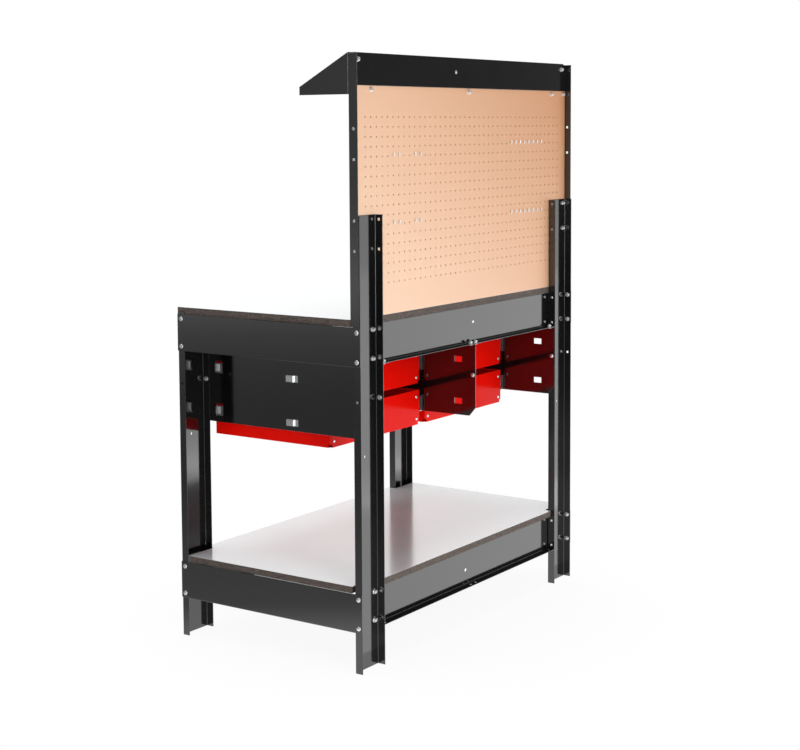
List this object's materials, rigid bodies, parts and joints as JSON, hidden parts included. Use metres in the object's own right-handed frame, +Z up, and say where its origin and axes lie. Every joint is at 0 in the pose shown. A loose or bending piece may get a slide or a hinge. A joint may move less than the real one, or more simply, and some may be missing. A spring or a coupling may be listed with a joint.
{
  "type": "workbench",
  "caption": "Bolted steel workbench with a board top, a lower shelf, hanging drawers on ball slides, a pegboard back and a small canopy.",
  "frame": {"origin": "centre of the bench's outline, on the floor", "axes": "+X to the right of someone who works at the bench, +Y from the front to the back, +Z up"},
  "size_m": [1.137, 0.6226, 1.601],
  "materials": {
    "black_steel": "gloss black powder coat",
    "red_steel": "gloss red powder coat",
    "zinc": "bright zinc plate",
    "board": "fibreboard with a pale smooth face",
    "pegboard": "bare brown hardboard",
    "cage_plastic": "black moulded ball cage"
  },
  "bodies": {
    "bench": {"leg_front_left": "black_steel", "leg_rear_left": "black_steel", "peg_post_left": "black_steel", "canopy_end_left": "black_steel", "drawer_panel_outer_left": "black_steel", "drawer_panel_middle_left": "black_steel", "end_apron_upper_left": "black_steel", "end_apron_lower_left": "black_steel", "leg_front_right": "black_steel", "leg_rear_right": "black_steel", "peg_post_right": "black_steel", "canopy_end_right": "black_steel", "drawer_panel_outer_right": "black_steel", "drawer_panel_middle_right": "black_steel", "end_apron_upper_right": "black_steel", "end_apron_lower_right": "black_steel", "rail_front_upper": "black_steel", "rail_front_lower": "black_steel", "rail_rear_upper": "black_steel", "rail_rear_lower": "black_steel", "worktop": "board", "lower_shelf": "board", "pegboard": "pegboard", "back_plate": "black_steel", "canopy_top": "black_steel", "pegboard_strip": "black_steel", "apron_bolts": "zinc", "rail_bolts": "zinc", "splice_bolts": "zinc", "panel_bolts": "zinc", "lip_bolts": "zinc", "board_bolts": "zinc", "frame_nuts": "zinc", "double_hooks": "zinc", "prong_racks": "zinc", "slide_fixed_upper_left": "zinc", "slide_fixed_lower_left": "zinc", "slide_fixed_upper_right": "zinc", "slide_fixed_lower_right": "zinc"},
    "drawer_upper_left_body": {"drawer_upper_left": "red_steel", "drawer_front_upper_left": "red_steel", "slide_inner_upper_left": "zinc"},
    "slide_middle_upper_left_body": {"slide_middle_upper_left": "zinc", "slide_cages_upper_left": "cage_plastic"},
    "drawer_lower_left_body": {"drawer_lower_left": "red_steel", "drawer_front_lower_left": "red_steel", "slide_inner_lower_left": "zinc"},
    "slide_middle_lower_left_body": {"slide_middle_lower_left": "zinc", "slide_cages_lower_left": "cage_plastic"},
    "drawer_upper_right_body": {"drawer_upper_right": "red_steel", "drawer_front_upper_right": "red_steel", "slide_inner_upper_right": "zinc"},
    "slide_middle_upper_right_body": {"slide_middle_upper_right": "zinc", "slide_cages_upper_right": "cage_plastic"},
    "drawer_lower_right_body": {"drawer_lower_right": "red_steel", "drawer_front_lower_right": "red_steel", "slide_inner_lower_right": "zinc"},
    "slide_middle_lower_right_body": {"slide_middle_lower_right": "zinc", "slide_cages_lower_right": "cage_plastic"}
  },
  "joints": [
    {"name": "drawer_upper_left_slide", "type": "slide", "parent": "bench", "child": "drawer_upper_left_body", "axis": [0, -1, 0], "range_m": [0, 0.38]},
    {"name": "slide_middle_upper_left_run", "type": "slide", "parent": "bench", "child": "slide_middle_upper_left_body", "axis": [0, -1, 0], "range_m": [0, 0.19]},
    {"name": "drawer_lower_left_slide", "type": "slide", "parent": "bench", "child": "drawer_lower_left_body", "axis": [0, -1, 0], "range_m": [0, 0.38]},
    {"name": "slide_middle_lower_left_run", "type": "slide", "parent": "bench", "child": "slide_middle_lower_left_body", "axis": [0, -1, 0], "range_m": [0, 0.19]},
    {"name": "drawer_upper_right_slide", "type": "slide", "parent": "bench", "child": "drawer_upper_right_body", "axis": [0, -1, 0], "range_m": [0, 0.38]},
    {"name": "slide_middle_upper_right_run", "type": "slide", "parent": "bench", "child": "slide_middle_upper_right_body", "axis": [0, -1, 0], "range_m": [0, 0.19]},
    {"name": "drawer_lower_right_slide", "type": "slide", "parent": "bench", "child": "drawer_lower_right_body", "axis": [0, -1, 0], "range_m": [0, 0.38]},
    {"name": "slide_middle_lower_right_run", "type": "slide", "parent": "bench", "child": "slide_middle_lower_right_body", "axis": [0, -1, 0], "range_m": [0, 0.19]}
  ],
  "couplings": [
    {"joint": "slide_middle_upper_left_run", "follows": "drawer_upper_left_slide", "ratio": 0.5},
    {"joint": "slide_middle_lower_left_run", "follows": "drawer_lower_left_slide", "ratio": 0.5},
    {"joint": "slide_middle_upper_right_run", "follows": "drawer_upper_right_slide", "ratio": 0.5},
    {"joint": "slide_middle_lower_right_run", "follows": "drawer_lower_right_slide", "ratio": 0.5}
  ]
}
